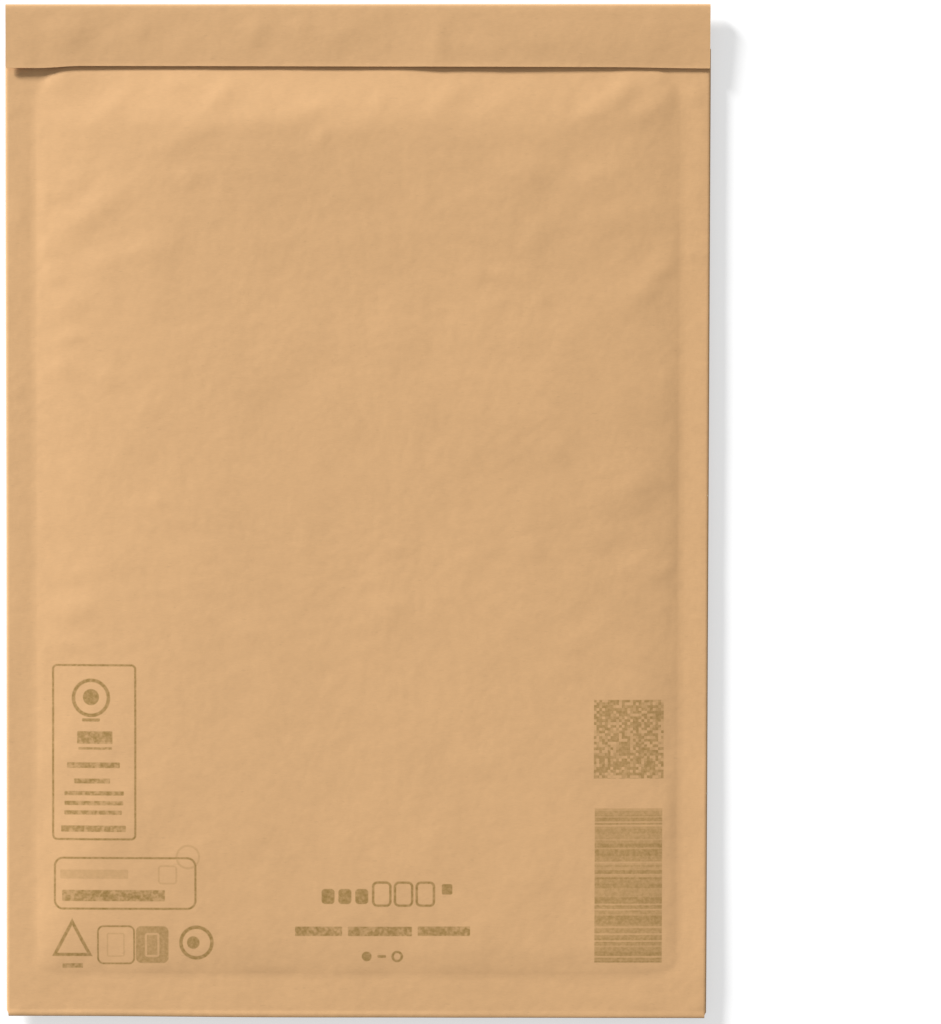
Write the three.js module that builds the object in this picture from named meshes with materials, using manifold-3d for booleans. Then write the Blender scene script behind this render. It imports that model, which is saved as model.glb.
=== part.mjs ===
// A padded kraft-paper mailing envelope, lying on its back with the flap folded over the front.
// Millimetres, +Z up, +Y towards the flap fold, +X to the right when the front is seen upright.
import * as THREE from 'three';
import { mergeVertices } from 'three/addons/utils/BufferGeometryUtils.js';
import Module from 'manifold-3d';

const wasm = await Module();
wasm.setup();

// Outer sheet: its folded size and the paper it is made of
const envelopeWidth = 200;
const envelopeLength = 288;
const foldAboveMouth = 12;
const flapDrop = 18;
const paperThickness = 0.35;
const flapFoldDiameter = 2.5;
const flapStandOff = 0.9;

// Glued margins that frame the padded field
const sideMargin = 8.3;
const bottomMargin = 12.2;
const mouthMargin = 2;
const seamFlangeWidth = 7.3;
const seamMitreStart = 1;

// Padded field: how it swells from the margins, slowly over the front and quickly over the back
const frontShoulder = 32;
const backShoulder = 4.2;
const topCornerRadius = 15;
const bottomCornerRadius = 4;
const crownRise = 0.5;
const mouthDroopShare = 0.7;
const mouthDroopLength = 20;
const mouthBow = 0.5;
const lipLength = 10;

// Padding, pocket and the clearance between separate pieces
const padThickness = 2.2;
const pocketGap = 0.4;
const pieceClearance = 0.3;

// Peel-off strip under the flap
const linerThickness = 0.25;
const linerHeight = 13;
const linerCornerRadius = 1.5;
const linerEndGap = 5;
const linerEdgeGap = 1.5;

// Smoothness of the curved surfaces
const shoulderSteps = 5;
const swellSteps = 8;
const cornerSteps = 6;
const sideSteps = 8;
const crownRings = 2;
const foldSteps = 10;
const lipSteps = 12;
const overshoot = 1;

// Heights and places that follow from the sizes above; lengths are measured up from the bottom fold
const halfWidth = envelopeWidth / 2;
const mouthHeight = envelopeLength - foldAboveMouth;
const fieldTop = mouthHeight - mouthMargin;
const fieldHalfWidth = halfWidth - sideMargin;
const flapEdge = envelopeLength - flapDrop;
const fieldRise = pocketGap / 2 + padThickness + pieceClearance + paperThickness;
const seamPlane = fieldRise;
const quarterTurn = Math.PI / 2;

function toSolid(geometry) {
  geometry.deleteAttribute('normal');
  geometry.deleteAttribute('uv');
  const merged = mergeVertices(geometry, 1e-4);
  const vertProperties = new Float32Array(merged.attributes.position.array);
  const triVerts = new Uint32Array(merged.index.array);
  return new wasm.Manifold(new wasm.Mesh({ numProp: 3, vertProperties, triVerts }));
}

function toGeometry(solid) {
  const mesh = solid.getMesh();
  const geometry = new THREE.BufferGeometry();
  geometry.setAttribute('position', new THREE.BufferAttribute(mesh.vertProperties, 3));
  geometry.setIndex(new THREE.BufferAttribute(mesh.triVerts, 1));
  geometry.computeVertexNormals();
  return geometry;
}

// Rounded outline of the padded field in plan, drawn in by a distance on every side.
// Its corners open out as it shrinks, as the contour lines of a cushion do.
function fieldOutline(shrink) {
  const side = fieldHalfWidth - shrink;
  const bottom = bottomMargin + shrink;
  const top = fieldTop - shrink;
  const widest = 0.9 * Math.min(side, (top - bottom) / 2);
  const topRadius = Math.min(topCornerRadius + shrink / 2, widest);
  const bottomRadius = Math.min(bottomCornerRadius + shrink / 2, widest);
  const corners = [
    { x: side - bottomRadius, y: bottom + bottomRadius, radius: bottomRadius },
    { x: side - topRadius, y: top - topRadius, radius: topRadius },
    { x: topRadius - side, y: top - topRadius, radius: topRadius },
    { x: bottomRadius - side, y: bottom + bottomRadius, radius: bottomRadius },
  ];
  const arcs = corners.map(({ x, y, radius }, corner) => {
    const arc = [];
    for (let step = 0; step <= cornerSteps; step++) {
      const angle = (corner - 1 + step / cornerSteps) * quarterTurn;
      arc.push(new THREE.Vector2(x + radius * Math.cos(angle), y + radius * Math.sin(angle)));
    }
    return arc;
  });
  const outline = [];
  arcs.forEach((arc, corner) => {
    const next = arcs[(corner + 1) % arcs.length][0];
    const last = arc[arc.length - 1];
    outline.push(...arc);
    for (let step = 1; step < sideSteps; step++) {
      outline.push(last.clone().lerp(next, step / sideSteps));
    }
  });
  return outline;
}

// Rise of the front over its margins, at a place a given distance inside the outline of the field.
// It swells slowly from the sides and the bottom, and sinks to the mouth, where the flap holds it down.
function frontRise(inside, y) {
  const belowTop = Math.max(0, fieldTop - y);
  const onSide = THREE.MathUtils.smoothstep(belowTop - inside, 0, topCornerRadius);
  const width = THREE.MathUtils.lerp(backShoulder, frontShoulder, onSide);
  const swell = Math.sin(quarterTurn * Math.min(1, inside / width));
  const towardsMouth = 1 - Math.min(1, belowTop / mouthDroopLength);
  const sunk = mouthDroopShare * (1 - Math.cos(Math.PI * towardsMouth)) / 2;
  return (fieldRise - paperThickness + crownRise) * swell * (1 - sunk);
}

// Closed pillow whose surface lies a given depth inside the outer surface of the padded field.
// Rings run from the middle of the front out to the rim and in again over the flat back.
function pillow(depth) {
  const rimAngle = Math.asin(depth / fieldRise);
  const rim = depth + (backShoulder * rimAngle) / quarterTurn;
  const rings = [];
  const addRing = (shrink, height) => rings.push(fieldOutline(shrink).map(({ x, y }) => [x, y, height(y)]));
  const addFrontRing = (inside, least) =>
    addRing(inside, (y) => seamPlane + Math.max(least, paperThickness + frontRise(inside, y) - depth));

  for (let ring = crownRings; ring >= 1; ring--) {
    const share = ring / (crownRings + 0.5);
    addFrontRing(THREE.MathUtils.lerp(frontShoulder, fieldHalfWidth, share), 1);
  }
  for (let step = swellSteps; step >= 1; step--) {
    addFrontRing(THREE.MathUtils.lerp(rim, frontShoulder, (step / swellSteps) ** 1.5), 0.04 * step);
  }
  if (depth === 0) {
    addFrontRing(rim, paperThickness);
  }
  addRing(rim, () => seamPlane);
  for (let step = 1; step <= shoulderSteps; step++) {
    const angle = rimAngle + (quarterTurn - rimAngle) * (step / shoulderSteps);
    addRing(depth + (backShoulder * angle) / quarterTurn, () =>
      seamPlane - fieldRise * Math.sin(angle) + depth);
  }
  return loft(rings);
}

// Solid skin over a stack of rings with equal counts, closed at both ends by a fan
function loft(rings) {
  const count = rings[0].length;
  const middle = (bottomMargin + fieldTop) / 2;
  const positions = rings.flat(2);
  const firstCentre = rings.length * count;
  positions.push(0, middle, rings[0][0][2]);
  positions.push(0, middle, rings[rings.length - 1][0][2]);
  const triangles = [];
  for (let point = 0; point < count; point++) {
    const next = (point + 1) % count;
    for (let ring = 0; ring + 1 < rings.length; ring++) {
      const upper = ring * count;
      const lower = upper + count;
      triangles.push(upper + point, lower + point, lower + next);
      triangles.push(upper + point, lower + next, upper + next);
    }
    const lastRing = firstCentre - count;
    triangles.push(firstCentre, point, next);
    triangles.push(firstCentre + 1, lastRing + next, lastRing + point);
  }
  const geometry = new THREE.BufferGeometry();
  geometry.setAttribute('position', new THREE.Float32BufferAttribute(positions, 3));
  geometry.setIndex(triangles);
  return toSolid(geometry);
}

// Solid of a shape drawn as (length, height) and carried across the envelope
function acrossWidth(shape, width) {
  const geometry = new THREE.ExtrudeGeometry(shape, { depth: width, bevelEnabled: false, curveSegments: foldSteps });
  geometry.translate(0, 0, -width / 2);
  const lengthAxis = new THREE.Vector3(0, 1, 0);
  const heightAxis = new THREE.Vector3(0, 0, 1);
  const widthAxis = new THREE.Vector3(1, 0, 0);
  geometry.applyMatrix4(new THREE.Matrix4().makeBasis(lengthAxis, heightAxis, widthAxis));
  return toSolid(geometry);
}

// Solid of a shape drawn as (-width, height) and carried along the envelope
function alongLength(shape, from, to) {
  const geometry = new THREE.ExtrudeGeometry(shape, {
    depth: to - from,
    bevelEnabled: false,
    curveSegments: foldSteps,
  });
  const widthAxis = new THREE.Vector3(-1, 0, 0);
  const heightAxis = new THREE.Vector3(0, 0, 1);
  const lengthAxis = new THREE.Vector3(0, 1, 0);
  geometry.applyMatrix4(new THREE.Matrix4().makeBasis(widthAxis, heightAxis, lengthAxis));
  geometry.translate(0, from, 0);
  return toSolid(geometry);
}

function box(width, length, height, x, y, z) {
  const geometry = new THREE.BoxGeometry(width, length, height);
  geometry.translate(x, y, z);
  return toSolid(geometry);
}

// Underside of the flap, as a height over a place between the fold and the flap's edge
const foldCentre = envelopeLength - flapFoldDiameter / 2;
const undersideAtFold = seamPlane - paperThickness + flapFoldDiameter - paperThickness;
const frontAtEdge = paperThickness + frontRise(fieldTop - flapEdge, flapEdge);
const undersideAtEdge = seamPlane + frontAtEdge + flapStandOff;
const flapSlope = (undersideAtEdge - undersideAtFold) / (foldCentre - flapEdge);

// Section of the sheet from the back panel, round the top fold and down to the flap's edge
function flapSection() {
  const foldHeight = seamPlane - paperThickness + flapFoldDiameter / 2;
  const outerRadius = flapFoldDiameter / 2;
  const innerRadius = outerRadius - paperThickness;
  const shape = new THREE.Shape();
  shape.moveTo(mouthHeight - overshoot, seamPlane - paperThickness);
  shape.lineTo(foldCentre, seamPlane - paperThickness);
  shape.absarc(foldCentre, foldHeight, outerRadius, -quarterTurn, quarterTurn, false);
  shape.lineTo(flapEdge, undersideAtEdge + paperThickness);
  shape.lineTo(flapEdge, undersideAtEdge);
  shape.lineTo(foldCentre, undersideAtFold);
  shape.absarc(foldCentre, foldHeight, innerRadius, quarterTurn, -quarterTurn, true);
  shape.lineTo(mouthHeight - overshoot, seamPlane);
  return acrossWidth(shape, envelopeWidth);
}

// Front and back panels lying on each other, with the round fold that joins them at the bottom
function gluedPanels() {
  const width = envelopeWidth - 3 * paperThickness;
  const shape = new THREE.Shape();
  shape.moveTo(mouthHeight, seamPlane - paperThickness);
  shape.lineTo(mouthHeight, seamPlane + paperThickness);
  shape.lineTo(paperThickness, seamPlane + paperThickness);
  shape.absarc(paperThickness, seamPlane, paperThickness, quarterTurn, 3 * quarterTurn, false);
  return acrossWidth(shape, width);
}

// Side fold: the front panel turns round the edge and ends as a flange glued on the back panel
function sideFold() {
  const radius = 1.5 * paperThickness;
  const foldHeight = seamPlane - paperThickness / 2;
  const shape = new THREE.Shape();
  shape.moveTo(-halfWidth + radius + overshoot, foldHeight + radius);
  shape.lineTo(-halfWidth + radius, foldHeight + radius);
  shape.absarc(-halfWidth + radius, foldHeight, radius, quarterTurn, 3 * quarterTurn, false);
  shape.lineTo(-halfWidth + radius + overshoot, foldHeight - radius);
  const round = alongLength(shape, seamMitreStart, mouthHeight);

  const inner = halfWidth - seamFlangeWidth;
  const outer = halfWidth - radius;
  const plan = new THREE.Shape();
  plan.moveTo(outer, seamMitreStart);
  plan.lineTo(outer, mouthHeight);
  plan.lineTo(inner, mouthHeight);
  plan.lineTo(inner, seamMitreStart + outer - inner);
  const flange = new THREE.ExtrudeGeometry(plan, { depth: 1.5 * paperThickness, bevelEnabled: false });
  flange.translate(0, 0, foldHeight - radius);
  return round.add(toSolid(flange));
}

// Bowed lip of the front panel at the mouth, or the gap under it, between the two side seams
function mouthLens(lift, from, to) {
  const reach = fieldHalfWidth - backShoulder;
  const shape = new THREE.Shape();
  shape.moveTo(-reach, seamPlane);
  for (let step = 0; step <= lipSteps; step++) {
    const x = reach * (2 * (step / lipSteps) - 1);
    shape.lineTo(x, seamPlane + lift + mouthBow * (1 - (x / reach) ** 2));
  }
  shape.lineTo(reach, seamPlane);
  return alongLength(shape, from, to);
}

// One sheet of kraft paper: folded at the bottom, closed down both sides, open at the mouth,
// swollen over the padding and turned down over the front as the closing flap
function outerSheet() {
  const panels = gluedPanels();
  const rightFold = sideFold();
  const leftFold = rightFold.mirror([1, 0, 0]);
  const lip = mouthLens(paperThickness, mouthHeight - lipLength, mouthHeight);
  const skin = panels.add(rightFold).add(leftFold).add(pillow(0)).add(lip).add(flapSection());
  const mouthSlot = mouthLens(0, mouthHeight - lipLength, mouthHeight + overshoot);
  return skin.subtract(pillow(paperThickness)).subtract(mouthSlot);
}

// Cushion-paper pad against the front or the back panel, on its own side of the flat pocket
function pad(side) {
  const filling = pillow(paperThickness + pieceClearance);
  const depth = 2 * (fieldRise + crownRise);
  const middle = seamPlane + side * (pocketGap / 2 + depth / 2);
  const half = box(envelopeWidth, 2 * envelopeLength, depth, 0, 0, middle);
  return filling.intersect(half);
}

function linerGeometry() {
  const across = halfWidth - linerEndGap;
  const half = linerHeight / 2;
  const radius = linerCornerRadius;
  const shape = new THREE.Shape();
  shape.moveTo(across - radius, -half);
  shape.absarc(across - radius, radius - half, radius, -quarterTurn, 0, false);
  shape.absarc(across - radius, half - radius, radius, 0, quarterTurn, false);
  shape.absarc(radius - across, half - radius, radius, quarterTurn, 2 * quarterTurn, false);
  shape.absarc(radius - across, radius - half, radius, 2 * quarterTurn, 3 * quarterTurn, false);
  return new THREE.ExtrudeGeometry(shape, { depth: linerThickness, bevelEnabled: false, curveSegments: 4 });
}

function named(name, geometry, color, roughness) {
  const mesh = new THREE.Mesh(geometry, new THREE.MeshStandardMaterial({ color, roughness, metalness: 0 }));
  mesh.name = name;
  return mesh;
}

const envelope = new THREE.Group();
envelope.position.y = -envelopeLength / 2;
envelope.add(named('outer_sheet', toGeometry(outerSheet()), '#d7ad7c', 0.85));
envelope.add(named('front_pad', toGeometry(pad(1)), '#c59a68', 0.95));
envelope.add(named('back_pad', toGeometry(pad(-1)), '#c59a68', 0.95));

// The strip lies parallel to the flap, under the line of adhesive that it protects
const liner = named('release_liner', linerGeometry(), '#efe7d6', 0.45);
const linerMiddle = flapEdge + linerEdgeGap + linerHeight / 2;
const undersideAtLiner = undersideAtEdge - flapSlope * (linerMiddle - flapEdge);
liner.rotation.x = -Math.atan(flapSlope);
liner.position.set(0, linerMiddle, undersideAtLiner - pieceClearance - linerThickness);
envelope.add(liner);

export default envelope;
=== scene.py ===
import math
import bpy
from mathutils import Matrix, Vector, noise


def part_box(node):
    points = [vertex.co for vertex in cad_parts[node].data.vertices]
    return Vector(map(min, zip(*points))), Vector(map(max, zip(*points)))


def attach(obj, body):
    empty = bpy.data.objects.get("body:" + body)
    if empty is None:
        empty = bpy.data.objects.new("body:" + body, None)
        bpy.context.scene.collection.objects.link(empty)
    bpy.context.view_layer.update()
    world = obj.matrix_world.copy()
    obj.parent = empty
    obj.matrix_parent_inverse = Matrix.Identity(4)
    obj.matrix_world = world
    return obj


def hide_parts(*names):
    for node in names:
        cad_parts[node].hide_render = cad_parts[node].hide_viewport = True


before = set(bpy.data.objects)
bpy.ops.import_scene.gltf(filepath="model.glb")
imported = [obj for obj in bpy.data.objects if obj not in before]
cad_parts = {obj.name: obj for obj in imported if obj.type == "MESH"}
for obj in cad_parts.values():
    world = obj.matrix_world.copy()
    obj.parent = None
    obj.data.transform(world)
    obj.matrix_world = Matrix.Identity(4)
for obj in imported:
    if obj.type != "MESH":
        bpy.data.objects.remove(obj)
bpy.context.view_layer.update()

# The view: the envelope lies on its back on a white table, seen from straight above as if it stood up.
# The lens is long and stands a little towards the flap, so the bottom edge comes out slightly narrower.
MM = 0.001
picture_height = 1024
film_size = 36.0
pixels_per_mm = 3.5181
view_distance = 1.2
view_pitch = math.radians(1.615)
view_roll = math.radians(0.117)
aim = Vector((31.97 * MM, 0.47 * MM, 4 * MM))

camera_data = bpy.data.cameras.new("studio_camera")
camera_data.sensor_width = film_size
camera_data.lens = film_size * view_distance / (picture_height / pixels_per_mm * MM)
camera = bpy.data.objects.new("studio_camera", camera_data)
bpy.context.scene.collection.objects.link(camera)
camera.location = aim + view_distance * Vector((0, math.sin(view_pitch), math.cos(view_pitch)))
camera.rotation_euler = (-view_pitch, 0, view_roll)
bpy.context.scene.camera = camera
bpy.context.scene.view_settings.view_transform = 'Standard'

# The light: a large soft lamp low over the upper left corner, and an even white room that fills the
# shadows. The lamp gives the share of the level that the room leaves, so colours come out as written.
room_share = 0.34
key_height = math.radians(22)
key_bearing = math.radians(138)
key_spread = math.radians(13)

key_data = bpy.data.lights.new("key_lamp", 'SUN')
key_data.angle = key_spread
key_data.energy = (1 - room_share) * math.pi / math.sin(key_height)
key = bpy.data.objects.new("key_lamp", key_data)
bpy.context.scene.collection.objects.link(key)
key_way = Vector((
    math.cos(key_height) * math.cos(key_bearing),
    math.cos(key_height) * math.sin(key_bearing),
    math.sin(key_height),
))
key.rotation_euler = key_way.to_track_quat('Z', 'Y').to_euler()


def add_node(tree, kind, links=None, inputs=None, **settings):
    """Adds a node, sets its settings and inputs, and links its inputs to other nodes' outputs."""
    node = tree.nodes.new(kind)
    for name, value in settings.items():
        setattr(node, name, value)
    for name, value in (inputs or {}).items():
        node.inputs[name].default_value = value
    for name, output in (links or {}).items():
        tree.links.new(output, node.inputs[name])
    return node


room = bpy.data.worlds.new("white_room")
room.use_nodes = True
room.node_tree.nodes.clear()
bpy.context.scene.world = room


def joined(tree, operation, values):
    """Joins a list of values into one, step by step, as their product or their maximum."""
    result = values[0]
    for value in values[1:]:
        step = add_node(tree, 'ShaderNodeMath', operation=operation, links={0: result, 1: value})
        result = step.outputs[0]
    return result


def seen_directly(tree):
    """1 for what the camera, a gloss or a clear material sees, and 0 for what lights the scene."""
    rays = add_node(tree, 'ShaderNodeLightPath').outputs
    kinds = ('Is Camera Ray', 'Is Glossy Ray', 'Is Transmission Ray')
    return joined(tree, 'MAXIMUM', [rays[kind] for kind in kinds])


room_level = add_node(room.node_tree, 'ShaderNodeMath', operation='MAXIMUM', inputs={1: room_share},
                      links={0: seen_directly(room.node_tree)})
room_light = add_node(room.node_tree, 'ShaderNodeBackground', inputs={'Color': (1, 1, 1, 1)},
                      links={'Strength': room_level.outputs[0]})
add_node(room.node_tree, 'ShaderNodeOutputWorld', links={'Surface': room_light.outputs[0]})

# The table: matt white laminate that goes on past the view. Only the camera sees it a little brighter,
# so that it comes out as the plain white ground and still takes the envelope's soft shadow.
table_size = 4.0
table_drop = 0.02 * MM
table_white = 0.5
table_lift = 0.56

bpy.ops.object.select_all(action='DESELECT')
bpy.ops.mesh.primitive_plane_add(size=table_size, location=(0, 0, -table_drop))
table = bpy.context.object
table.name = "table"
laminate = bpy.data.materials.new("white_laminate")
laminate.use_nodes = True
laminate.node_tree.nodes.clear()
table_seen = add_node(laminate.node_tree, 'ShaderNodeMath', operation='MULTIPLY', inputs={1: table_lift},
                      links={0: seen_directly(laminate.node_tree)})
table_glow = add_node(laminate.node_tree, 'ShaderNodeEmission', links={'Strength': table_seen.outputs[0]})
table_matt = add_node(laminate.node_tree, 'ShaderNodeBsdfDiffuse',
                      inputs={'Color': (table_white, table_white, table_white, 1)})
table_sum = add_node(laminate.node_tree, 'ShaderNodeAddShader',
                     links={0: table_glow.outputs[0], 1: table_matt.outputs[0]})
add_node(laminate.node_tree, 'ShaderNodeOutputMaterial', links={'Surface': table_sum.outputs[0]})
table.data.materials.append(laminate)

# The kraft sheet: one sheet of light brown kraft paper, folded at the bottom, glued down both sides,
# open at the mouth and carried on as the flap. It is laid out as a flat blank and then folded in code,
# swollen over its padding, and marked by creases and dents that are placed one by one.
sheet_low, sheet_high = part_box("outer_sheet")
half_width = sheet_high.x
sheet_length = sheet_high.y - sheet_low.y

# The paper's thickness, and how far the middles of glued layers lie apart
paper = 0.30 * MM
layer = 0.35 * MM
seam_plane = 3.05 * MM
side_margin = 8.3 * MM
bottom_margin = 12.2 * MM
mouth = sheet_length - 12 * MM
field_top = mouth - 2 * MM
flap_edge = sheet_length - 18 * MM
back_shoulder = 4.2 * MM
top_corner = 15 * MM
bottom_corner = 4 * MM
back_depth = 2.725 * MM
fold_radius = 1.25 * MM - layer / 2
field_half = half_width - side_margin

# The front panel is turned round each side edge and carried on as a flange that is glued under the back
side_turn = layer
side_edge = half_width - 1.5 * layer
flange_width = 7.3 * MM
mitre_start = 1 * MM
mitre_length = 25 * MM
turn_steps = 4
flange_steps = 5

# The blank's columns: finer at the edges of the padded field and at the sides
cell = 1.6 * MM
edge_cell = 0.8 * MM
fine_cell = 0.5 * MM
edge_band = 5 * MM
side_band = 1 * MM


def spaced(start, end, step):
    """Places from a start up to, and without, an end, about a step apart."""
    count = max(1, round(abs(end - start) / step))
    return [start + (end - start) * place / count for place in range(count)]


half_columns = spaced(0, field_half - edge_band, cell)
half_columns += spaced(field_half - edge_band, field_half, edge_cell)
half_columns += spaced(field_half, side_edge - side_band, cell)
half_columns += spaced(side_edge - side_band, side_edge, fine_cell) + [side_edge]
inner_columns = [-x for x in reversed(half_columns)] + half_columns[1:]
turn_columns = turn_steps + flange_steps
column_count = len(inner_columns) + 2 * turn_columns

bottom_turn = layer / 2
fold_line = sheet_length - fold_radius - layer / 2
fold_band = 3 * MM
lip_band = 2 * MM
back_cell = 5 * MM
back_margin_cell = 3 * MM
back_shoulder_cell = 0.9 * MM
back_lip_cell = 2 * MM

# The rows of the blank go from the mouth down the front, up the back and down the flap. Each stretch has
# its start, its end and the distance of its rows. A fold stays in one place and turns from 0 to 1.
stretches = (
    ('front', mouth, bottom_margin + fold_band, cell),
    ('front', bottom_margin + fold_band, bottom_margin, edge_cell),
    ('front', bottom_margin, fold_band, cell),
    ('front', fold_band, bottom_turn, fine_cell),
    ('bottom_fold', 0, 1, 1 / 4),
    ('back', bottom_turn, bottom_margin, back_margin_cell),
    ('back', bottom_margin, bottom_margin + back_shoulder, back_shoulder_cell),
    ('back', bottom_margin + back_shoulder, field_top - back_shoulder, back_cell),
    ('back', field_top - back_shoulder, field_top, back_shoulder_cell),
    ('back', field_top, fold_line, back_lip_cell),
    ('top_fold', 0, 1, 1 / 12),
    ('flap', fold_line, flap_edge + lip_band, cell),
    ('flap', flap_edge + lip_band, flap_edge, fine_cell),
)
fold_places = {'bottom_fold': bottom_turn, 'top_fold': fold_line}
path = []
for part, start, end, step in stretches:
    for place in spaced(start, end, step):
        path.append((part, fold_places[part], place) if part in fold_places else (part, place, 0))
path.append(('flap', flap_edge, 0))


def smooth(value, low, high):
    """Rises from 0 to 1 between two values, without a corner."""
    share = min(1, max(0, (value - low) / (high - low)))
    return share * share * (3 - 2 * share)


def corner_cut(radius, distance):
    """How far a rounded corner draws the side in, at a distance from the end of the side."""
    missing = min(radius, max(0, radius - distance))
    return radius - math.sqrt(radius * radius - missing * missing)


def side_distances(x, up):
    """Distances from the left and the right side of the padded field; below 0 on a margin."""
    cut = corner_cut(top_corner, field_top - up) + corner_cut(bottom_corner, up - bottom_margin)
    return x + field_half - cut, field_half - cut - x


def inset(x, up):
    """How far a place lies inside the padded field, which is open at the mouth; below 0 on a margin."""
    return min(*side_distances(x, up), up - bottom_margin)


# How the front swells from each edge of the field: each pair gives a rise and the distance over which
# most of it is reached, so that a quick first step and a long slow rise can be added.
left_swell = ((3.5 * MM, 30 * MM),)
right_swell = ((0.5 * MM, 6 * MM), (1.6 * MM, 40 * MM), (3.7 * MM, 190 * MM))
bottom_swell = ((0.42 * MM, 4 * MM), (2.65 * MM, 52 * MM))
right_top_swell = ((-0.25 * MM, 6 * MM), (-1.0 * MM, 40 * MM))
right_top_span = (165 * MM, 215 * MM)
swell_blend = 0.25 * MM

# The padding is fuller some way below the mouth and sinks towards it, where the front gapes a little
top_fullness = 0.35
top_fullness_length = 80 * MM
mouth_sink = 1.02
mouth_sink_length = 21.3 * MM
mouth_sink_bend = 2.2 * MM
mouth_gape = 0.25 * MM
mouth_gape_length = 6 * MM
loose_band = 3 * MM

# The margins lie a little higher towards the bottom and droop over the last of it, most at the right. The
# bottom fold stands up in a thin bead, which is lower at the right.
bottom_lift = 0.5 * MM
bottom_lift_length = 45 * MM
bottom_droop = 0.24 * MM
bottom_droop_right = 0.30 * MM
bottom_droop_span = (-60 * MM, 60 * MM)
bead_height = 0.14 * MM
bead_up = 0.9 * MM
bead_half_width = 0.5 * MM
bead_fade = 0.6
bead_fade_span = (0, 60 * MM)


def swell(distance, steps):
    """Rise of the front at a distance from one edge of the field."""
    return sum(rise * (1 - math.exp(-distance / reach)) for rise, reach in steps)


def front_rise(x, up):
    """Height of the padded front over its margins."""
    if inset(x, up) <= 0:
        return 0
    from_left, from_right = side_distances(x, up)
    near_top = smooth(up, *right_top_span)
    right_limit = swell(from_right, right_swell) + near_top * swell(from_right, right_top_swell)
    limits = (swell(from_left, left_swell), right_limit, swell(up - bottom_margin, bottom_swell))
    rise = -swell_blend * math.log(sum(math.exp(-limit / swell_blend) for limit in limits))
    past = up - mouth + mouth_sink_length
    fullness = 1 + top_fullness * math.exp(-(past / top_fullness_length) ** 2)
    sunk = mouth_sink * (math.hypot(past, mouth_sink_bend) + past) / 2 / mouth_sink_length
    return max(0, rise) * fullness * (1 - min(1, sunk))


noise_apart = 7.3
mark_reach = 3


def waves(x, up, seed, *sizes):
    """Soft uneven waves of the paper, from a seed; each size gives a wave's length and its height."""
    return sum(height * noise.noise(Vector((x / length, up / length, seed + noise_apart * order)))
               for order, (length, height) in enumerate(sizes))


def marks(x, up, places):
    """Creases and dents, each a middle, a half length, a half width, a bearing and a height."""
    total = 0
    for middle_x, middle_up, half_length, half_breadth, bearing, height in places:
        away_x = x / MM - middle_x
        away_up = up / MM - middle_up
        if abs(away_x) + abs(away_up) < mark_reach * (half_length + half_breadth):
            turn = math.radians(bearing)
            along = (away_x * math.cos(turn) + away_up * math.sin(turn)) / half_length
            across = (away_up * math.cos(turn) - away_x * math.sin(turn)) / half_breadth
            total += height * MM * math.exp(-along * along - across * across)
    return total


# The paper's waves: a seed, and then the length and height of each size of wave
margin_waves = (9, (20 * MM, 0.08 * MM), (7 * MM, 0.03 * MM))
front_waves = (3, (17 * MM, 0.10 * MM), (8 * MM, 0.06 * MM), (4 * MM, 0.02 * MM))
back_waves = (21, (30 * MM, 0.25 * MM), (12 * MM, 0.12 * MM))
flap_waves = (15, (16 * MM, 0.10 * MM), (7 * MM, 0.05 * MM))

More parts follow.
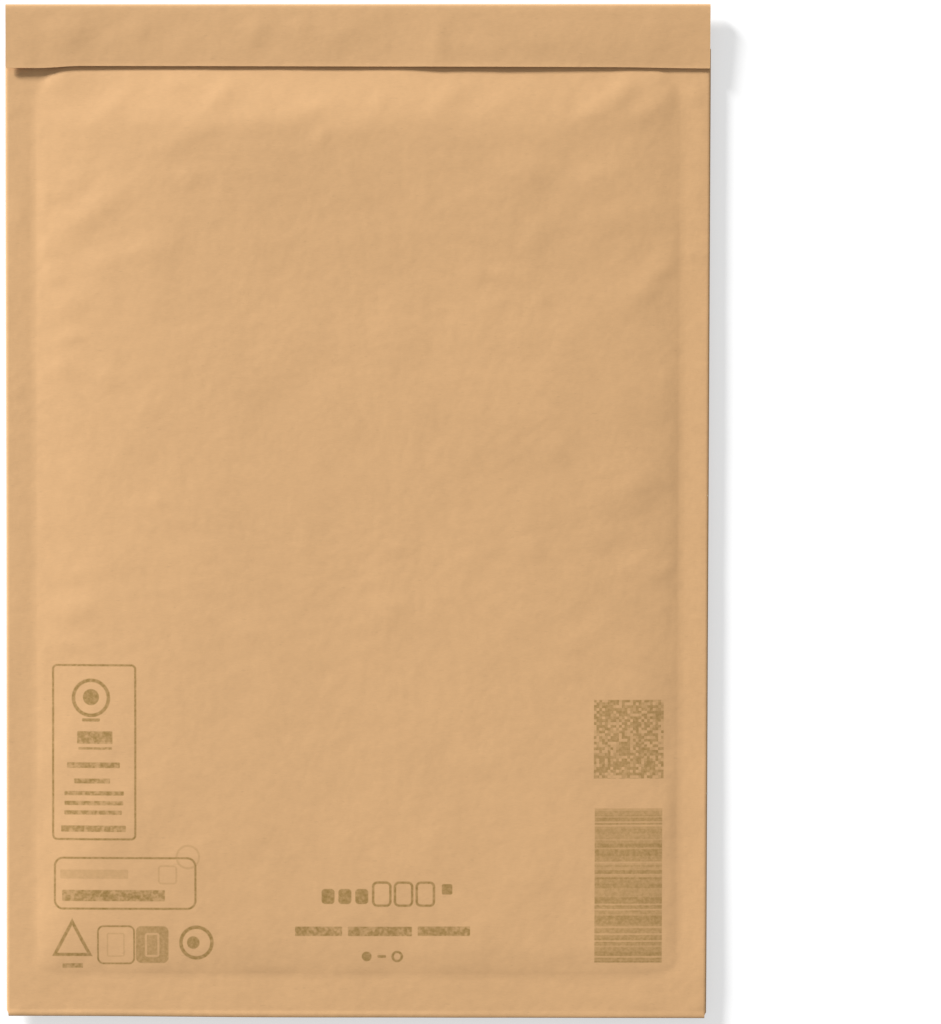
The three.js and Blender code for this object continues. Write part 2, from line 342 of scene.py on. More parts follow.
# The creases and dents that show, in millimetres and degrees: the place of the middle from the middle
# line and from the bottom edge, half the length, half the width, the bearing of the length, the height
front_marks = (
    (-83, 268, 7, 5, 0, 0.45), (80, 266, 9, 5, 10, 0.35), (-69, 259.5, 5.5, 2.5, 40, 0.23),
    (-39, 262, 7, 2.5, 45, 0.3), (-12.5, 258.5, 7, 3, 10, 0.26), (-50, 265.5, 4, 2, 20, 0.13),
    (5.5, 260.5, 3.5, 2.5, 60, 0.17), (22.5, 259.5, 4, 2.5, 60, 0.15), (27.5, 263, 3, 2.5, 40, 0.17),
    (41, 261, 6.5, 3, 30, 0.18), (67, 258, 5.5, 2.5, 20, 0.15), (75, 264, 4.5, 2.5, 60, 0.21),
    (58.5, 261.5, 3.5, 2.5, 70, 0.11), (-48, 250.5, 10, 3, 25, 0.21), (-75.5, 229, 10, 4, 35, 0.37),
    (-60, 218.5, 8, 3, 15, 0.17), (-73, 215, 3.5, 3, 0, 0.16), (-81, 203.5, 4.5, 3.5, 0, 0.22),
    (-79, 239, 4.5, 2.5, 30, 0.16), (-47.5, 239, 2.5, 2.5, 60, 0.15), (-38, 233, 5, 2.5, 80, 0.12),
    (-10.5, 250.5, 4.5, 2, 50, 0.17), (-2.5, 253, 4, 3.5, 0, 0.16), (-21, 221.5, 2.5, 1.5, 10, 0.1),
    (-88.5, 220, 2, 1.5, 20, 0.18), (-86.5, 218.5, 3, 1.5, 10, 0.12), (-86.5, 211.5, 3, 2.5, 0, 0.17),
    (-88.5, 234, 3, 1.5, 80, 0.11), (-84.5, 235, 3, 1.5, 0, 0.09), (-75.5, 254, 3, 1.5, 0, 0.09),
    (85, 260.5, 7, 2.5, 30, 0.25), (39, 212, 7, 2, 0, 0.17), (50, 222, 4.5, 2.5, 80, 0.12),
    (33.5, 213, 4.5, 2.5, 75, 0.13), (52, 205.5, 2.5, 2, 60, 0.09), (19, 233.5, 2.5, 2, 60, 0.09),
    (48.5, 240.5, 7.5, 4.5, 0, 0.21), (67.5, 239.5, 7, 3.5, 20, 0.17), (76, 228.5, 5.5, 3.5, 10, 0.13),
    (69, 260, 8, 3.5, 20, 0.23), (77, 257, 12, 3.5, 10, 0.21), (83.5, 210, 7.5, 2.5, 55, 0.09),
    (79, 207, 10, 4.5, 30, 0.2), (86, 213.5, 3.5, 2, 25, 0.09), (-81, 194, 3.5, 1.5, 0, 0.19),
    (-85, 192, 3.5, 1.5, 20, 0.08), (-84.5, 185, 4, 2.5, 10, 0.18), (-71, 182.5, 4, 2.5, -20, 0.19),
    (-82, 168, 3, 1.5, 60, 0.07), (-57.5, 147, 5.5, 2, 15, 0.13), (-59, 174, 3, 2, 0, 0.09),
    (-51.5, 156.5, 3, 2, 80, 0.07), (-35.5, 161, 3.5, 1.5, 0, 0.08), (-1, 168.5, 3.5, 2, 60, 0.06),
    (-11.5, 158.5, 2, 1.5, 0, 0.11), (-15, 136.5, 5, 2, 85, 0.08), (-83, 131.5, 5, 3, 60, 0.09),
    (-80, 127, 5, 2.5, 0, 0.16), (-83, 117.5, 4.5, 2, 10, 0.16), (-79.5, 115.5, 5, 2, 25, 0.14),
    (-80.5, 107, 6.5, 2, 0, 0.13), (79, 151, 12, 5, 40, 0.24), (72.5, 138, 8, 2.5, 15, 0.11),
    (79, 129.5, 7, 2.5, 30, 0.13), (85.5, 127.5, 4.5, 2, 25, 0.18), (68.5, 149, 5, 4.5, 60, 0.09),
    (53, 171, 8.5, 3.5, 0, 0.09), (47.5, 194.5, 5.5, 4, 0, 0.17), (59.5, 193, 4, 3.5, 70, 0.1),
    (13.5, 196, 8, 6.5, 20, 0.13), (56, 162, 5, 4, 0, 0.17), (23.5, 162.5, 1.5, 1.5, 0, 0.11),
    (12, 134, 2.5, 1.5, 0, 0.13), (49, 134, 3.5, 2.5, 0, 0.14), (86, 117, 3.5, 2.5, 60, 0.1),
    (65.5, 109.5, 7.5, 2.5, 30, 0.09), (7, 116, 8.5, 5, 10, 0.12), (20.5, 115.5, 3, 2.5, 0, 0.11),
    (-30.5, 110, 5, 3, 0, 0.13),
)
flap_marks = (
    (22.5, 279, 12, 2, 90, 0.16), (-80.5, 279, 4, 3.5, 30, 0.18), (-62, 281, 3.5, 2.5, 80, 0.17),
    (-38.5, 284, 3, 2.5, 60, 0.12), (-29, 280.5, 5, 3, 60, 0.18), (-16.5, 281, 3, 2.5, 80, 0.14),
    (-69, 278, 3, 2.5, 60, 0.09), (-3.5, 280, 6.5, 3.5, 30, 0.14), (83, 278.5, 7, 3.5, 80, 0.15),
    (52, 278.5, 7, 3.5, 10, 0.11), (34.5, 276, 8.5, 2, 0, 0.11), (-84, 281, 5, 3.5, 0, 0.19),
    (-49, 277.5, 4.5, 3, 40, 0.11),
)
margin_marks = (
    (-96.5, 259, 2.5, 1.5, 12, 0.14), (-96, 172, 2.5, 1.5, 20, 0.1), (-97, 149.5, 2, 1.5, 20, 0.07),
    (-96.5, 119, 2.5, 1.5, 20, 0.07), (-97, 131, 4, 2.5, 80, 0.07), (95.5, 218, 3, 1.5, 0, 0.13),
    (94.5, 234, 2.5, 2, 0, 0.13), (95.5, 263, 2.5, 2, -20, 0.18), (96, 169.5, 2.5, 1.5, 20, 0.05),
    (-96.5, 179.5, 3.5, 2, 60, 0.07), (-97, 228, 3.5, 2, 60, 0.05), (-67.5, 3.5, 4.5, 2.5, 10, 0.07),
    (80.5, 5, 5.5, 2, -12, 0.13), (12, 9.5, 6.5, 2.5, 5, 0.08), (-16.5, 4, 4.5, 2, 0, 0.08),
    (-96, 2, 2.5, 1.5, 30, 0.11), (97.5, 3.5, 3.5, 1.5, 35, 0.1), (99, 48, 45.5, 2, 89, 0.09),
    (98.5, 162, 42.5, 2, 89, 0.07), (97.5, 247.5, 25.5, 2, 89, 0.07), (-96.5, 228.5, 9, 2.5, 85, 0.11),
    (-100, 90.5, 17, 2, 89, 0.07),
)


def margin_height(x, up):
    """The glued margins lie halfway up the padding, and a little higher along the bottom fold."""
    lift = bottom_lift * math.exp(-(up / bottom_lift_length) ** 2)
    droop = bottom_droop + bottom_droop_right * smooth(x, *bottom_droop_span)
    bead = bead_height * math.exp(-((up - bead_up) / bead_half_width) ** 2)
    bead *= 1 - bead_fade * smooth(x, *bead_fade_span)
    relief = bead + waves(x, up, *margin_waves) + marks(x, up, margin_marks)
    return seam_plane + lift - droop * max(0, 1 - up / bottom_margin) + relief


def front_height(x, up):
    """Middle of the paper of the front panel."""
    loose = smooth(inset(x, up), 0, loose_band)
    near_mouth = smooth(up, field_top - mouth_gape_length, mouth)
    gape = mouth_gape * near_mouth * max(0, 1 - (x / field_half) ** 2)
    relief = waves(x, up, *front_waves) + marks(x, up, front_marks)
    return margin_height(x, up) + layer / 2 + front_rise(x, up) + loose * (relief + gape)


def back_height(x, up):
    """Middle of the paper of the back panel, flat where it lies on the table but for a few soft dents."""
    inside = max(0, min(inset(x, up), field_top - up))
    drop = math.sin(min(1, inside / back_shoulder) * math.pi / 2)
    flat = seam_plane - back_depth + abs(waves(x, up, *back_waves))
    return (1 - drop) * margin_height(x, up) + drop * flat - layer / 2


# The flap runs straight from its fold to its free edge, which keeps a gap to the front: wider where the
# front dips and at the left end, and narrower at the right end, where the fold droops too.
fold_slack = 0.25 * MM
fold_top = seam_plane - layer / 2 + 2 * fold_radius + fold_slack
fold_droop = 0.3 * MM
fold_droop_span = (20 * MM, half_width)
fold_crispness = 0.4
flap_gap = 0.38 * MM
flap_dip = 0.28 * MM
flap_dip_start = (10 * MM, 24 * MM)
flap_dip_end = (45 * MM, 95 * MM)
left_end_lift = 0.25 * MM
left_end_span = (5 * MM, 11 * MM)
right_end_droop = 0.3 * MM
right_end_span = (60 * MM, 84 * MM)
stiff_end = 30 * MM
lip_curl = 0.05 * MM
lip_curl_length = 0.9 * MM
plain_share = 0.3


def flap_height(x, up):
    """Middle of the paper of the flap, from the fold down to its free edge."""
    nearest = min(max(x, stiff_end - field_half), field_half - stiff_end)
    gap = flap_gap + flap_dip * smooth(x, *flap_dip_start) * (1 - smooth(x, *flap_dip_end))
    gap += left_end_lift * (1 - smooth(x + half_width, *left_end_span))
    gap -= right_end_droop * smooth(x, *right_end_span)
    edge = front_height(nearest, flap_edge) + paper + gap
    top = fold_top - fold_droop * smooth(x, *fold_droop_span)
    share = (fold_line - up) / (fold_line - flap_edge)
    curl = lip_curl * smooth(flap_edge + lip_curl_length - up, 0, lip_curl_length)
    relief = waves(x, up, *flap_waves) + marks(x, up, flap_marks)
    return top + (edge - top) * share + curl + smooth(share, 0, plain_share) * relief


edge_trim = 0.65 * MM
left_cut = 0.62 * MM
left_cut_span = (9 * MM, 22 * MM)
right_cut = 0.3 * MM
right_cut_span = (70 * MM, half_width)


def flap_cut(x):
    """The flap's free edge is cut a little unevenly."""
    left_end = left_cut * (1 - smooth(x + half_width, *left_cut_span))
    right_end = right_cut * smooth(x, *right_cut_span)
    return edge_trim - left_end - right_end


flap_half_width = half_width - 0.3 * MM
widest_back = mouth + 2 * MM


def folded(part, up, turn, x):
    """Place of a point of the blank after folding: across, length up from the bottom, and height."""
    angle = turn * math.pi
    if part == 'front':
        return x, up, front_height(x, up)
    if part == 'bottom_fold':
        return x, up - bottom_turn * math.sin(angle), margin_height(x, up) + bottom_turn * math.cos(angle)
    beyond = smooth(up, field_top, widest_back) if part == 'back' else 1
    wide = x * (1 + beyond * (flap_half_width / side_edge - 1))
    if part == 'back':
        return wide, up, back_height(x, up)
    if part == 'top_fold':
        middle = (flap_height(x, fold_line) + back_height(x, fold_line)) / 2
        radius = (flap_height(x, fold_line) - back_height(x, fold_line)) / 2
        outward = math.sin(angle) ** fold_crispness
        upward = -math.copysign(abs(math.cos(angle)) ** fold_crispness, math.cos(angle))
        return wide, fold_line + fold_radius * outward, middle + radius * upward
    share = (fold_line - up) / (fold_line - flap_edge)
    return wide, up + flap_cut(x) * share, flap_height(x, up)


def blank_point(part, up, turn, column):
    """Place of a vertex of the blank. The outermost columns are the flanges that turn under the back."""
    inner = min(max(column - turn_columns, 0), len(inner_columns) - 1)
    beyond = column - turn_columns - inner
    if not beyond or part != 'front':
        return folded(part, up, turn, inner_columns[inner])
    side = math.copysign(1, beyond)
    turned = math.pi * min(abs(beyond), turn_steps) / turn_steps
    inward = flange_width * max(0, abs(beyond) - turn_steps) / flange_steps
    mitred = up + max(0, mitre_start + inward - bottom_turn) * max(0, 1 - up / mitre_length)
    across = side * (side_edge + side_turn * math.sin(turned) - inward)
    middle = margin_height(side * (side_edge - inward), mitred) - layer / 2
    return across, mitred, middle + side_turn * math.cos(turned)


bottom_trim = 0.2 * MM
bottom_trim_length = 20 * MM
bottom_skew = 0.3 * MM
bottom_skew_span = (-80 * MM, -20 * MM)
top_trim = 0.3 * MM
top_skew = 0.25 * MM
top_span = (flap_edge + 6 * MM, fold_line)
right_taper = 0.4 * MM
left_flare = 0.15 * MM
left_flare_span = (120 * MM, 250 * MM)


def out_of_square(across, along):
    """Such a sheet is never cut and folded quite square: small shifts towards its edges."""
    sideways = across / half_width
    left_half = 1 - smooth(across, *bottom_skew_span)
    shift_up = (bottom_trim + bottom_skew * left_half) * max(0, 1 - along / bottom_trim_length)
    shift_up += (top_trim + top_skew * sideways) * smooth(along, *top_span)
    shift_in = right_taper * (1 - along / sheet_length) * max(0, sideways)
    shift_in += left_flare * smooth(along, *left_flare_span) * max(0, -sideways)
    return across - shift_in, along + shift_up


bpy.ops.object.select_all(action='DESELECT')
bpy.ops.mesh.primitive_grid_add(x_subdivisions=column_count - 1, y_subdivisions=len(path) - 1, size=1)
sheet = bpy.context.object
sheet.name = "kraft_sheet"
for vertex in sheet.data.vertices:
    row, column = divmod(vertex.index, column_count)
    across, along, height = blank_point(*path[row], column)
    across, along = out_of_square(across, along)
    vertex.co = (across, along - sheet_length / 2, height)
bpy.ops.object.mode_set(mode='EDIT')
bpy.ops.mesh.select_mode(type='FACE')
bpy.ops.mesh.select_all(action='DESELECT')
bpy.ops.object.mode_set(mode='OBJECT')
for face in sheet.data.polygons:
    row, column = divmod(min(face.vertices), column_count)
    in_flange = column < turn_columns or column >= column_count - 1 - turn_columns
    face.select = in_flange and path[row + 1][0] != 'front'
bpy.ops.object.mode_set(mode='EDIT')
bpy.ops.mesh.delete(type='FACE')
bpy.ops.mesh.select_all(action='SELECT')
bpy.ops.mesh.normals_make_consistent(inside=False)
bpy.ops.object.mode_set(mode='OBJECT')


def linear(hex_colour):
    """An sRGB hex colour as linear red, green, blue and alpha."""
    channels = [int(hex_colour[place:place + 2], 16) / 255 for place in (1, 3, 5)]
    return [c / 12.92 if c <= 0.04045 else ((c + 0.055) / 1.055) ** 2.4 for c in channels] + [1]


def paper_nodes(name):
    """A new paper without nodes; gives it, its node tree and its places in millimetres of the piece."""
    material = bpy.data.materials.new(name)
    material.use_nodes = True
    tree = material.node_tree
    tree.nodes.clear()
    place = add_node(tree, 'ShaderNodeTexCoord')
    in_mm = add_node(tree, 'ShaderNodeVectorMath', operation='SCALE', inputs={'Scale': 1 / MM},
                     links={0: place.outputs['Object']})
    return material, tree, in_mm


def paper_noise(tree, place, size, detail, stretch=(1, 1, 1)):
    """A cloud texture whose features are about a size in millimetres, as a value around 0.5."""
    spread = tuple(part / size for part in stretch)
    scaled = add_node(tree, 'ShaderNodeVectorMath', operation='MULTIPLY', inputs={1: spread},
                      links={0: place.outputs[0]})
    clouds = add_node(tree, 'ShaderNodeTexNoise', inputs={'Scale': 1, 'Detail': detail, 'Roughness': 0.55},
                      links={'Vector': scaled.outputs[0]})
    return clouds.outputs[0]


def paper_factor(tree, place, size, detail, ends, stretch=(1, 1, 1)):
    """Such a texture as a factor; its ends are two values of the texture and the factors they give."""
    ranged = add_node(tree, 'ShaderNodeMapRange', inputs=dict(enumerate(ends, start=1)),
                      links={0: paper_noise(tree, place, size, detail, stretch)})
    return ranged.outputs[0]


# What makes up the pulp: soft clouds, blotches, a grain of fibres, and a few dark flecks, each with the
# size of its features in millimetres, its detail, the ends of its range, and its stretch. Real fibres are
# too fine to show, so they are drawn some ten times as wide.
pulp_textures = (
    (22, 1, (0, 1, 0.97, 1.03)),
    (3.2, 2, (0, 1, 0.95, 1.05)),
    (0.5, 1, (0, 1, 0.95, 1.05), (0.35, 1.6, 1)),
    (0.8, 0, (0.79, 0.86, 1, 0.93), (0.5, 1.5, 1)),
)


def kraft_pulp(tree, in_mm):
    """The light brown colour of the pulp."""
    factors = [paper_factor(tree, in_mm, *texture) for texture in pulp_textures]
    return add_node(tree, 'ShaderNodeVectorMath', operation='SCALE', inputs={0: linear("#d3a776")[:3]},
                    links={'Scale': joined(tree, 'MULTIPLY', factors)}).outputs[0]


# The face of the paper: its grain, which is drawn coarser than it is so that it shows, and soft ripples.
# The sizes are in millimetres.
grain_size = 0.35
grain_depth = 0.03 * MM
ripple_size = 3.4
ripple_depth = 0.07 * MM


def kraft_surface(tree, in_mm, colour):
    """The matt, slightly rough face of the paper."""
    grain = paper_noise(tree, in_mm, grain_size, 0)
    grain_bump = add_node(tree, 'ShaderNodeBump', inputs={'Strength': 0.25, 'Distance': grain_depth},
                          links={'Height': grain})
    ripple = paper_noise(tree, in_mm, ripple_size, 1)
    ripple_bump = add_node(tree, 'ShaderNodeBump', inputs={'Strength': 1, 'Distance': ripple_depth},
                           links={'Height': ripple, 'Normal': grain_bump.outputs[0]})
    surface = add_node(tree, 'ShaderNodeBsdfPrincipled', inputs={'Roughness': 0.72, 'IOR': 1.45},
                       links={'Base Color': colour, 'Normal': ripple_bump.outputs[0]})
    add_node(tree, 'ShaderNodeOutputMaterial', links={'Surface': surface.outputs[0]})


# Plain kraft paper, all over the sheet but for the printed fields
kraft, kraft_tree, kraft_mm = paper_nodes("kraft_paper")
kraft_surface(kraft_tree, kraft_mm, kraft_pulp(kraft_tree, kraft_mm))

# The print: plain frames, rings, bars, squares and speckle in thin olive brown ink. They stand where such
# a mailer carries its print, and mean nothing: no letters, figures, codes or marks. The ink bleeds into
# the paper, so its edge is soft over this many millimetres on either side.
printed, printed_tree, printed_mm = paper_nodes("printed_kraft_paper")
ink_edge = 0.14
front_axes = add_node(printed_tree, 'ShaderNodeVectorMath', operation='MULTIPLY', inputs={1: (1, 1, 0)},
                      links={0: printed_mm.outputs[0]})


def ink_shape(middle_x, middle_y, width, height, radius, line=0.0, ink=1.0):
    """Mask of a rounded box, or of its outline; without a size it is a disc or a ring."""
    tree = printed_tree
    away = add_node(tree, 'ShaderNodeVectorMath', operation='SUBTRACT', inputs={1: (middle_x, middle_y, 0)},
                    links={0: front_axes.outputs[0]})
    mirrored = add_node(tree, 'ShaderNodeVectorMath', operation='ABSOLUTE', links={0: away.outputs[0]})
    core = (max(0, width / 2 - radius), max(0, height / 2 - radius), 0)
    beyond = add_node(tree, 'ShaderNodeVectorMath', operation='SUBTRACT', inputs={1: core},
                      links={0: mirrored.outputs[0]})
    outside = add_node(tree, 'ShaderNodeVectorMath', operation='MAXIMUM', inputs={1: (0, 0, 0)},
                       links={0: beyond.outputs[0]})
    reach = add_node(tree, 'ShaderNodeVectorMath', operation='LENGTH', links={0: outside.outputs[0]})
    distance, limit = reach.outputs['Value'], radius
    if line:
        off_line = add_node(tree, 'ShaderNodeMath', operation='SUBTRACT', inputs={1: radius},
                            links={0: distance})
        near_line = add_node(tree, 'ShaderNodeMath', operation='ABSOLUTE', links={0: off_line.outputs[0]})
        distance, limit = near_line.outputs[0], line / 2
    mask = add_node(tree, 'ShaderNodeMapRange', links={0: distance},
                    inputs={1: limit + ink_edge, 2: limit - ink_edge, 3: 0, 4: ink})
    return mask.outputs[0]


def broken(mask, cell_width, cell_height, low, high, least=0.0):
    """Breaks a mask into cells; its ink rises from the least to full between two values of chance."""
    tree = printed_tree
    cells = add_node(tree, 'ShaderNodeVectorMath', operation='SNAP',
                     inputs={1: (cell_width, cell_height, 1)}, links={0: front_axes.outputs[0]})
    chance = add_node(tree, 'ShaderNodeTexWhiteNoise', noise_dimensions='2D', links={0: cells.outputs[0]})
    kept = add_node(tree, 'ShaderNodeMapRange', inputs={1: low, 2: high, 3: least, 4: 1},
                    links={0: chance.outputs['Value']})
    return joined(tree, 'MULTIPLY', (mask, kept.outputs[0]))


# The shapes in millimetres: the middle across and along from the sheet's middle, the width, the height,
# the radius of the corners or of the ring, and for an outline the width of its line
outlines = (
    (-74.9, -68.1, 23.5, 49.6, 1.2, 0.6), (-66.1, -105.5, 40.1, 14.5, 2.4, 0.6),
    (-68.7, -123.1, 10.3, 10.7, 1.6, 0.5), (-45.8, -122.4, 0, 0, 4.4, 1.0),
    (-75.8, -52.6, 0, 0, 5.0, 1.0), (7.0, -108.4, 4.9, 6.6, 1.2, 0.7), (13.2, -108.4, 4.9, 6.6, 1.2, 0.7),
    (19.4, -108.4, 4.9, 6.6, 1.2, 0.7), (11.4, -126.3, 0, 0, 1.3, 0.7),
)
solids = (
    (-75.8, -52.4, 0, 0, 2.3), (-75.8, -58.9, 5.1, 0.9, 0.3), (-8.3, -109.1, 3.7, 4.3, 1.0),
    (-3.5, -109.1, 3.7, 4.3, 1.0), (1.3, -109.1, 3.7, 4.3, 1.0), (25.6, -107.0, 3.0, 3.0, 0.5),
    (-46.7, -122.4, 0, 0, 1.8), (2.7, -126.3, 0, 0, 1.4), (7.0, -126.3, 2.4, 0.8, 0.3),
)
bar_rows = (
    (-74.7, -63.9, 10.1, 3.6, 0.3), (-74.6, -67.0, 9.6, 0.7, 0.2), (-75.1, -71.8, 15.1, 1.6, 0.3),
    (-75.5, -76.3, 10.3, 1.4, 0.3), (-74.9, -79.8, 17.0, 1.2, 0.3), (-75.0, -82.6, 16.8, 1.2, 0.3),
    (-75.2, -85.3, 16.5, 1.2, 0.3), (-75.1, -89.9, 18.5, 1.8, 0.3), (-81.1, -129.1, 5.8, 1.3, 0.2),
    (-69.4, -109.0, 29.3, 3.2, 0.3), (-11.0, -119.1, 13.4, 2.7, 0.3), (6.5, -119.1, 18.2, 2.7, 0.3),
    (24.7, -119.0, 14.9, 2.7, 0.3),
)
faint_shapes = (
    (-74.9, -102.9, 19.4, 2.6, 0.3, 0), (-54.0, -103.0, 5.0, 5.0, 0.8, 0.5), (-48.2, -97.9, 0, 0, 3.2, 0.6),
    (-68.8, -123.1, 4.7, 6.5, 0.4, 0.4),
)
faint_ink = 0.3
masks = [ink_shape(*shape) for shape in outlines + solids]
masks += [ink_shape(*shape, ink=faint_ink) for shape in faint_shapes]
plain_rows = joined(printed_tree, 'MAXIMUM', [ink_shape(*shape) for shape in bar_rows])
mottled_ink = paper_factor(printed_tree, printed_mm, 1.4, 1, (0.35, 0.55, 0.5, 1.0))
masks.append(joined(printed_tree, 'MULTIPLY', (plain_rows, mottled_ink)))

# The triangle outline, from its distances to three straight sides
triangle_middle = (-81.2, -122.9, 0)
triangle_inner = 3.0
triangle_half_line = 0.46
from_middle = add_node(printed_tree, 'ShaderNodeVectorMath', operation='SUBTRACT',
                       inputs={1: triangle_middle}, links={0: front_axes.outputs[0]})
towards_sides = []
for side_bearing in (-90, 28, 152):
    facing = (math.cos(math.radians(side_bearing)), math.sin(math.radians(side_bearing)), 0)
    towards = add_node(printed_tree, 'ShaderNodeVectorMath', operation='DOT_PRODUCT', inputs={1: facing},
                       links={0: from_middle.outputs[0]})
    towards_sides.append(towards.outputs['Value'])
off_outline = add_node(printed_tree, 'ShaderNodeMath', operation='SUBTRACT', inputs={1: triangle_inner},
                       links={0: joined(printed_tree, 'MAXIMUM', towards_sides)})
off_outline = add_node(printed_tree, 'ShaderNodeMath', operation='ABSOLUTE',
                       links={0: off_outline.outputs[0]})
triangle = add_node(printed_tree, 'ShaderNodeMapRange', links={0: off_outline.outputs[0]},
                    inputs={1: triangle_half_line + ink_edge, 2: triangle_half_line - ink_edge, 3: 0, 4: 1})
masks.append(triangle.outputs[0])

# The dark tag with its light window, the speckled square and the field of uneven bars
tag = ink_shape(-58.4, -123.0, 9.3, 10.6, 1.6, ink=0.75)
window = ink_shape(-58.4, -123.1, 3.5, 6.3, 0.4, 0.6, ink=-0.6)
tag_print = add_node(printed_tree, 'ShaderNodeMath', operation='ADD', use_clamp=True,
                     links={0: tag, 1: window})
masks.append(tag_print.outputs[0])
speckled_square = ink_shape(77.2, -64.1, 19.9, 22.4, 0.1)
masks.append(broken(speckled_square, cell_width=0.8, cell_height=0.8, low=0.1, high=0.6, least=0.15))
bar_field = ink_shape(77.2, -105.9, 19.2, 44.0, 0.1)
whole_width = 200
wide_bars = broken(bar_field, whole_width, cell_height=1.3, low=0.0, high=0.8, least=0.65)
masks.append(broken(wide_bars, whole_width, cell_height=0.5, low=0.12, high=0.25, least=0.4))

# Only the outer face of the front is printed, in three fields; the ink lies unevenly on the rough paper
least_upright = 0.5
printed_place = add_node(printed_tree, 'ShaderNodeNewGeometry')
outer_normal = add_node(printed_tree, 'ShaderNodeSeparateXYZ',
                        links={0: printed_place.outputs['True Normal']})
faces_up = add_node(printed_tree, 'ShaderNodeMath', operation='GREATER_THAN', inputs={1: least_upright},
                    links={0: outer_normal.outputs['Z']})
uneven_ink = paper_factor(printed_tree, printed_mm, 0.9, 3, (0.3, 0.7, 0.55, 1.0))
all_shapes = joined(printed_tree, 'MAXIMUM', masks)
print_mask = joined(printed_tree, 'MULTIPLY', (all_shapes, faces_up.outputs[0], uneven_ink))
printed_colour = add_node(printed_tree, 'ShaderNodeMix', data_type='RGBA', blend_type='MIX',
                          inputs={7: linear("#917238")},
                          links={0: print_mask, 6: kraft_pulp(printed_tree, printed_mm)})
kraft_surface(printed_tree, printed_mm, printed_colour.outputs[2])

# The left and right side of each printed field from the middle line, and its ends from the bottom edge
print_fields = ((-88.5, -40, 12.5, 102), (-22, 34, 14, 42), (66.5, 88, 14, 93))
sheet.data.materials.append(kraft)
sheet.data.materials.append(printed)
for face in sheet.data.polygons:
    across, along = face.center.x / MM, (face.center.y + sheet_length / 2) / MM
    on_front = path[min(face.vertices) // column_count][0] == 'front'
    for left, right, low, high in print_fields:
        if on_front and left < across < right and low < along < high:
            face.material_index = 1

solid = sheet.modifiers.new("paper", 'SOLIDIFY')
solid.thickness = paper
solid.offset = 0
bpy.ops.object.modifier_apply(modifier=solid.name)
crease_angle = math.radians(50)
bpy.ops.object.shade_smooth_by_angle(angle=crease_angle)
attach(sheet, "root")
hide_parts("outer_sheet")

# The front pad: several plies of crimped brown cushion paper, laid loose against the inside of the front
# panel. It is seen only through the mouth, under the flap.
front_pad_inset = 5 * MM
pad_top_gap = 2 * MM
pad_cell = 3.6 * MM
pad_clearance = 0.25 * MM
pocket_gap = 0.4 * MM
least_pad = 0.2 * MM
pad_crease_angle = math.radians(40)


def pocket(x, up):
    """Lower and upper faces of the room between the back and the front panel."""
    return back_height(x, up) + paper / 2 + pad_clearance, front_height(x, up) - paper / 2 - pad_clearance


def pad_mesh(name, inset_by, faces):
    """A closed cushion between two heights; its corners follow those of the field."""
    columns = round(2 * (field_half - inset_by) / pad_cell)
    low_end = bottom_margin + inset_by
    high_end = field_top - pad_top_gap
    rows = round((high_end - low_end) / pad_cell)
    bpy.ops.object.select_all(action='DESELECT')
    bpy.ops.mesh.primitive_grid_add(x_subdivisions=columns, y_subdivisions=rows, size=1)
    pad = bpy.context.object
    pad.name = name
    bpy.ops.object.mode_set(mode='EDIT')
    bpy.ops.mesh.extrude_region_move(TRANSFORM_OT_translate={"value": (0, 0, 1)})
    bpy.ops.object.mode_set(mode='OBJECT')
    for vertex in pad.data.vertices:
        up = low_end + (vertex.co.y + 0.5) * (high_end - low_end)
        reach = field_half - inset_by - corner_cut(top_corner - inset_by / 2, field_top - up)
        x = 2 * vertex.co.x * reach
        low, high = faces(x, up)
        height = max(high, low + least_pad) if vertex.co.z > 0.5 else low
        vertex.co = (x, up - sheet_length / 2, height)
    bpy.ops.object.mode_set(mode='EDIT')
    bpy.ops.mesh.select_all(action='SELECT')
    bpy.ops.mesh.normals_make_consistent(inside=False)
    bpy.ops.object.mode_set(mode='OBJECT')
    bpy.ops.object.shade_smooth_by_angle(angle=pad_crease_angle)
    return pad


def front_pad_faces(x, up):
    """The front pad fills the upper half of the room."""
    low, high = pocket(x, up)
    return (low + high) / 2 + pocket_gap / 2, high


front_cushion = pad_mesh("front_cushion", front_pad_inset, front_pad_faces)

# Crepe-like cushion paper: darker than the sheet, crimped across in fine waves. At a scale of 1 the wave
# texture has a wave in every tenth of pi.
crimp_spacing = 1.428
crimp_depth = 0.4 * MM
cushion_paper, cushion_tree, cushion_mm = paper_nodes("crimped_cushion_paper")
crimp_scale = math.pi / 10 / crimp_spacing
crimp = add_node(cushion_tree, 'ShaderNodeTexWave', bands_direction='Y',
                 inputs={'Scale': crimp_scale, 'Distortion': 1.5, 'Detail': 2, 'Detail Scale': 2},
                 links={'Vector': cushion_mm.outputs[0]})
crimp_bump = add_node(cushion_tree, 'ShaderNodeBump', inputs={'Strength': 0.8, 'Distance': crimp_depth},
                      links={'Height': crimp.outputs[1]})
pulp = paper_factor(cushion_tree, cushion_mm, 1.5, 4, (0, 1, 0.85, 1.15))
pulp_colour = add_node(cushion_tree, 'ShaderNodeVectorMath', operation='SCALE',
                       inputs={0: linear("#c09566")[:3]}, links={'Scale': pulp})
cushion_surface = add_node(cushion_tree, 'ShaderNodeBsdfPrincipled', inputs={'Roughness': 0.9},
                           links={'Base Color': pulp_colour.outputs[0], 'Normal': crimp_bump.outputs[0]})
add_node(cushion_tree, 'ShaderNodeOutputMaterial', links={'Surface': cushion_surface.outputs[0]})
front_cushion.data.materials.append(cushion_paper)
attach(front_cushion, "root")
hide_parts("front_pad")

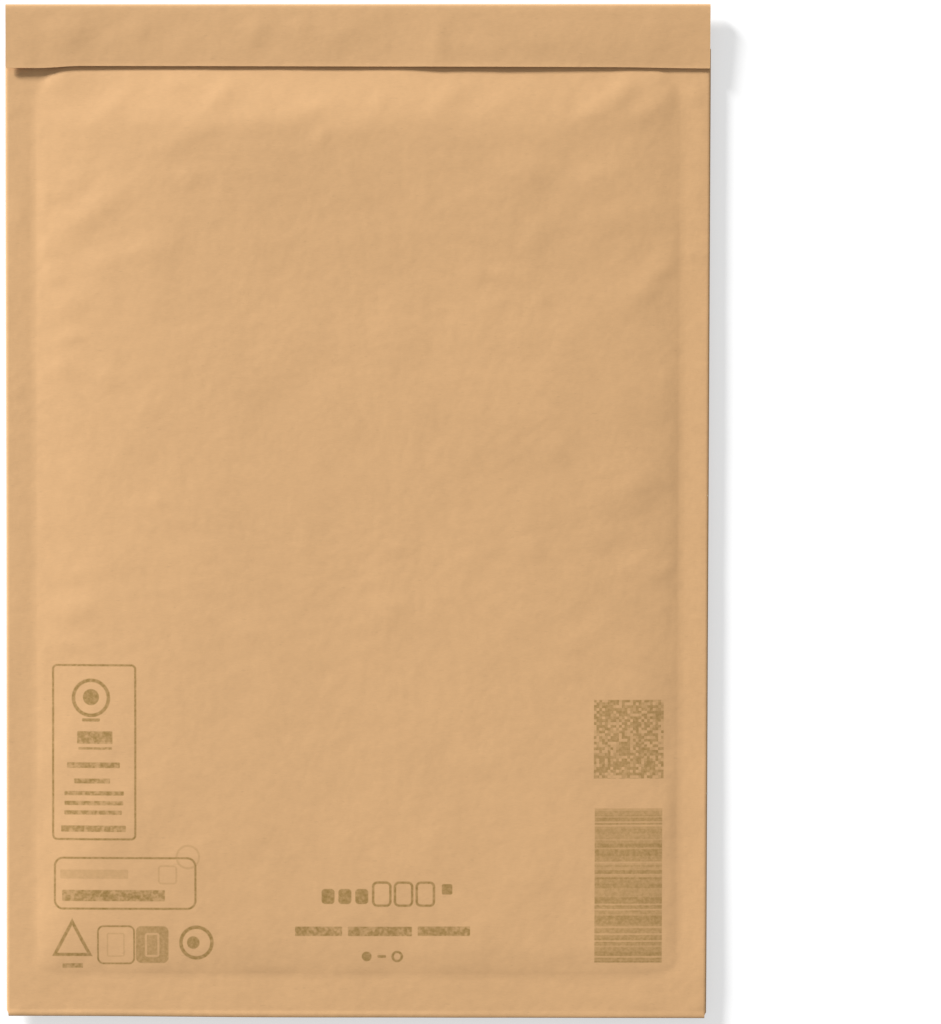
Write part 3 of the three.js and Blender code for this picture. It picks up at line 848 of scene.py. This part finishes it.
# The back pad: the same crimped cushion paper against the inside of the back panel, a gap away from the
# front pad.
back_pad_inset = 5 * MM


def back_pad_faces(x, up):
    """The back pad fills the lower half of the room."""
    low, high = pocket(x, up)
    return low, (low + high) / 2 - pocket_gap / 2


back_cushion = pad_mesh("back_cushion", back_pad_inset, back_pad_faces)
back_cushion.data.materials.append(cushion_paper)
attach(back_cushion, "root")
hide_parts("back_pad")

# The release liner: a strip of silicone-coated paper over the adhesive on the inside of the flap. It is
# laid on the same blank as the flap, so it follows the flap's folds.
liner_low, liner_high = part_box("release_liner")
liner_paper = 0.10 * MM
liner_gap = 0.05 * MM
liner_columns = 120
liner_rows = 8
liner_below = (paper + liner_paper) / 2 + liner_gap

bpy.ops.object.select_all(action='DESELECT')
bpy.ops.mesh.primitive_grid_add(x_subdivisions=liner_columns, y_subdivisions=liner_rows, size=1)
liner = bpy.context.object
liner.name = "liner_strip"
for vertex in liner.data.vertices:
    x = liner_low.x + (vertex.co.x + 0.5) * (liner_high.x - liner_low.x)
    up = liner_low.y + (vertex.co.y + 0.5) * (liner_high.y - liner_low.y) + sheet_length / 2
    across, along, height = folded('flap', up, 0, x)
    vertex.co = (across, along - sheet_length / 2, height - liner_below)

# Smooth cream paper with a silicone coat, which gives it a slight sheen
siliconed, siliconed_tree, siliconed_mm = paper_nodes("siliconed_release_paper")
liner_tone = paper_factor(siliconed_tree, siliconed_mm, 2.0, 3, (0, 1, 0.98, 1.02))
liner_colour = add_node(siliconed_tree, 'ShaderNodeVectorMath', operation='SCALE',
                        inputs={0: linear("#efe7d6")[:3]}, links={'Scale': liner_tone})
liner_surface = add_node(siliconed_tree, 'ShaderNodeBsdfPrincipled',
                         inputs={'Roughness': 0.35, 'Coat Weight': 0.4, 'Coat Roughness': 0.2},
                         links={'Base Color': liner_colour.outputs[0]})
add_node(siliconed_tree, 'ShaderNodeOutputMaterial', links={'Surface': liner_surface.outputs[0]})
liner.data.materials.append(siliconed)
liner_solid = liner.modifiers.new("paper", 'SOLIDIFY')
liner_solid.thickness = liner_paper
liner_solid.offset = 0
bpy.ops.object.modifier_apply(modifier=liner_solid.name)
bpy.ops.object.shade_smooth_by_angle(angle=crease_angle)
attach(liner, "root")
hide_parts("release_liner")
